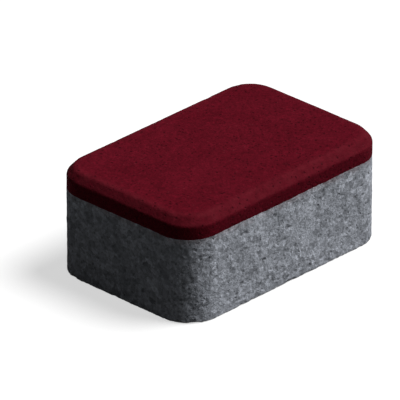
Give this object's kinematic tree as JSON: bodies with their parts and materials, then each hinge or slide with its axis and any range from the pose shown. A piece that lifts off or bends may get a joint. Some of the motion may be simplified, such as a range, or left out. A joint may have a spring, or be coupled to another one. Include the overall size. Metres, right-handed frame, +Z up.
{
  "type": "paving stone",
  "caption": "Oblong concrete paving stone with rounded upright corners, a grey body and a bevelled burgundy wearing layer.",
  "frame": {"origin": "middle of the bed face, on the ground", "axes": "+X along the long sides, +Y across the stone, +Z up through the wearing face"},
  "size_m": [0.172, 0.115, 0.07],
  "materials": {
    "backing_concrete": "matte, open-grained pressed concrete",
    "face_concrete": "matte, fine-grained coloured concrete"
  },
  "bodies": {
    "root": {"backing": "backing_concrete", "face_layer": "face_concrete"}
  },
  "joints": []
}
